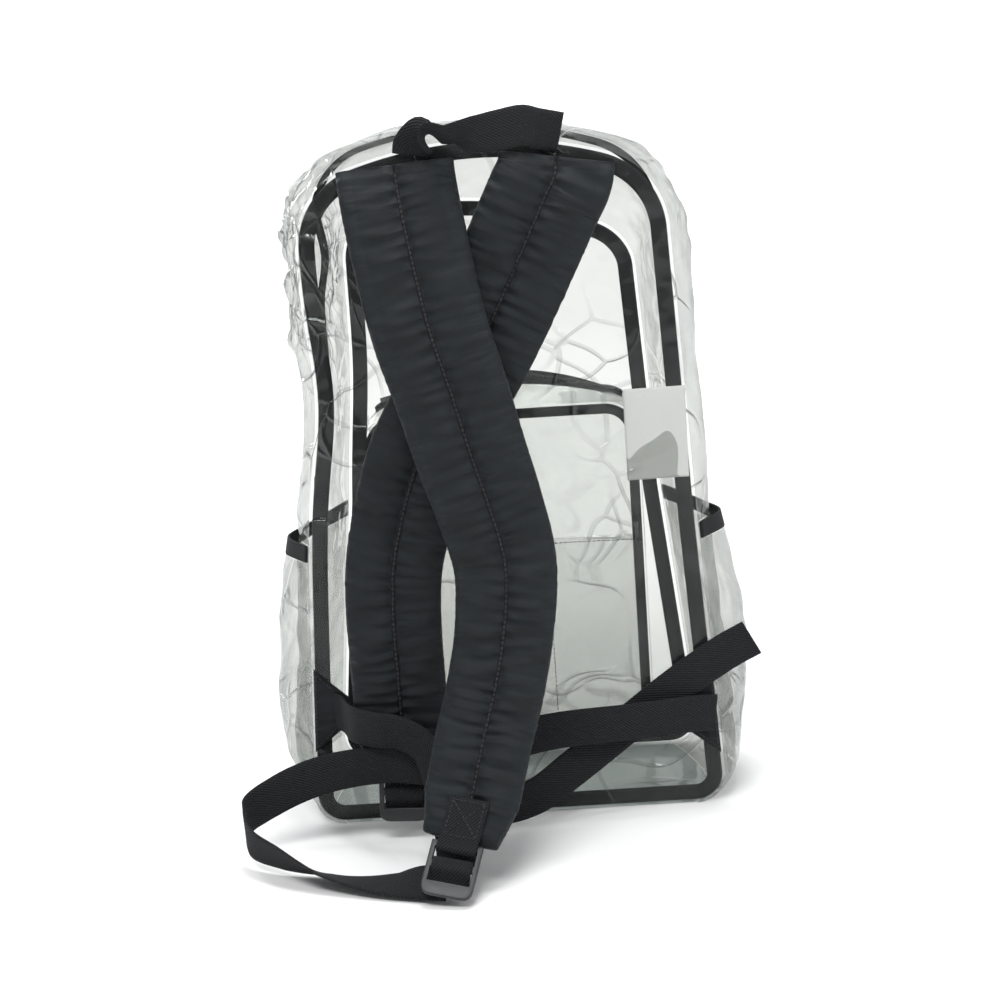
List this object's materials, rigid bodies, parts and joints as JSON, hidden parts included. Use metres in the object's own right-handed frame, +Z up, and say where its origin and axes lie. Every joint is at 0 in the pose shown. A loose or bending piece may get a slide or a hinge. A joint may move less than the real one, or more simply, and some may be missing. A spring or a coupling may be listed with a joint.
{
  "type": "clear backpack",
  "caption": "Clear vinyl backpack standing on its flat bottom, with black bound seams, zipped front pocket, side pockets, padded shoulder straps, ladder locks and loose webbing ends.",
  "frame": {"origin": "on the floor under the middle of the bag's flat bottom, halfway between the back panel and the front panel", "axes": "+Z up, -Y towards the shoulder straps on the back panel, +Y towards the front pocket, +X to the right as the strap side is seen"},
  "size_m": [0.3435, 0.3068, 0.4696],
  "materials": {
    "clear_vinyl": "clear flexible vinyl, glossy and softly creased",
    "binding": "woven black binding tape",
    "zipper_tape": "woven black zipper tape with a plastic coil",
    "strap_fabric": "dark slate woven fabric, matte and quilted",
    "webbing": "woven black webbing, matte",
    "black_plastic": "moulded black plastic, satin",
    "label_fabric": "pale grey coated fabric, blank and matte"
  },
  "bodies": {
    "root": {"back_panel": "clear_vinyl", "front_panel": "clear_vinyl", "back_gusset": "clear_vinyl", "front_gusset": "clear_vinyl", "main_zipper": "zipper_tape", "bottom_panel": "clear_vinyl", "back_binding": "binding", "front_binding": "binding", "left_side_panel": "clear_vinyl", "left_side_pocket": "clear_vinyl", "left_side_pocket_binding": "binding", "right_side_panel": "clear_vinyl", "right_side_pocket": "clear_vinyl", "right_side_pocket_binding": "binding", "front_pocket_panel": "clear_vinyl", "front_pocket_gusset": "clear_vinyl", "front_pocket_base": "clear_vinyl", "front_pocket_zipper": "zipper_tape", "front_pocket_binding": "binding", "front_pocket_organizer": "clear_vinyl", "left_strap": "strap_fabric", "left_strap_tab": "webbing", "left_ladder_lock": "black_plastic", "left_corner_tab": "webbing", "left_webbing": "webbing", "left_webbing_end": "webbing", "right_strap": "strap_fabric", "right_strap_tab": "webbing", "right_ladder_lock": "black_plastic", "right_corner_tab": "webbing", "right_webbing": "webbing", "right_webbing_end": "webbing", "grab_handle": "webbing", "care_label": "label_fabric", "main_zipper_slider": "black_plastic", "front_pocket_slider": "black_plastic"}
  },
  "joints": []
}
